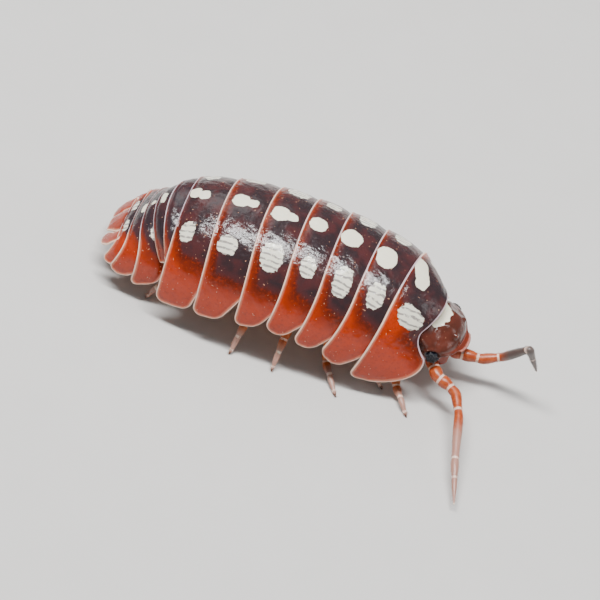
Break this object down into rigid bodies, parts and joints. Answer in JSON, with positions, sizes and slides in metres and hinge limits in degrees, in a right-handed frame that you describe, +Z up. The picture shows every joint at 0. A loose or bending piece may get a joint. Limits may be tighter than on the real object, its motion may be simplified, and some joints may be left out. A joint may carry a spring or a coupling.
{
  "type": "pill woodlouse specimen model",
  "caption": "Life-size still model of an adult pill woodlouse, dark with cream spots and orange skirts, standing with its back arched and feelers spread.",
  "frame": {"origin": "centre of the bounding box on the floor that the feet stand on", "axes": "+X runs along the body toward the head, +Y to the animal's left, +Z up"},
  "size_m": [0.021, 0.0126, 0.0058],
  "materials": {
    "shell": "glossy chitin, dark brown-black with cream spots and an orange-red band at each hind edge",
    "skirt": "glossy chitin, orange-red with a pale translucent edge",
    "belly": "soft pale chitin",
    "gills": "thin pale plates, the first two pairs with white lung patches",
    "limb": "semi-gloss chitin, orange to pale pink-grey",
    "feeler": "semi-gloss chitin with pale rings at the joints",
    "eye": "glossy black facets"
  },
  "bodies": {
    "root": {"pereonite_1": "shell", "pereonite_2": "shell", "pereonite_3": "shell", "pereonite_4": "shell", "pereonite_5": "shell", "pereonite_6": "shell", "pereonite_7": "shell", "pleonite_1": "shell", "pleonite_2": "shell", "pleonite_3": "shell", "pleonite_4": "shell", "pleonite_5": "shell", "head": "shell", "telson": "shell", "uropod_left": "skirt", "uropod_right": "skirt", "eye_left": "eye", "eye_right": "eye", "mouthparts": "belly", "trunk": "belly", "trunk_tail": "belly", "pleopods_left": "gills", "pleopods_right": "gills", "leg_left_1": "limb", "leg_left_2": "limb", "leg_left_3": "limb", "leg_left_4": "limb", "leg_left_5": "limb", "leg_left_6": "limb", "leg_left_7": "limb", "antenna_left": "feeler", "leg_right_1": "limb", "leg_right_2": "limb", "leg_right_3": "limb", "leg_right_4": "limb", "leg_right_5": "limb", "leg_right_6": "limb", "leg_right_7": "limb", "antenna_right": "feeler"}
  },
  "joints": []
}
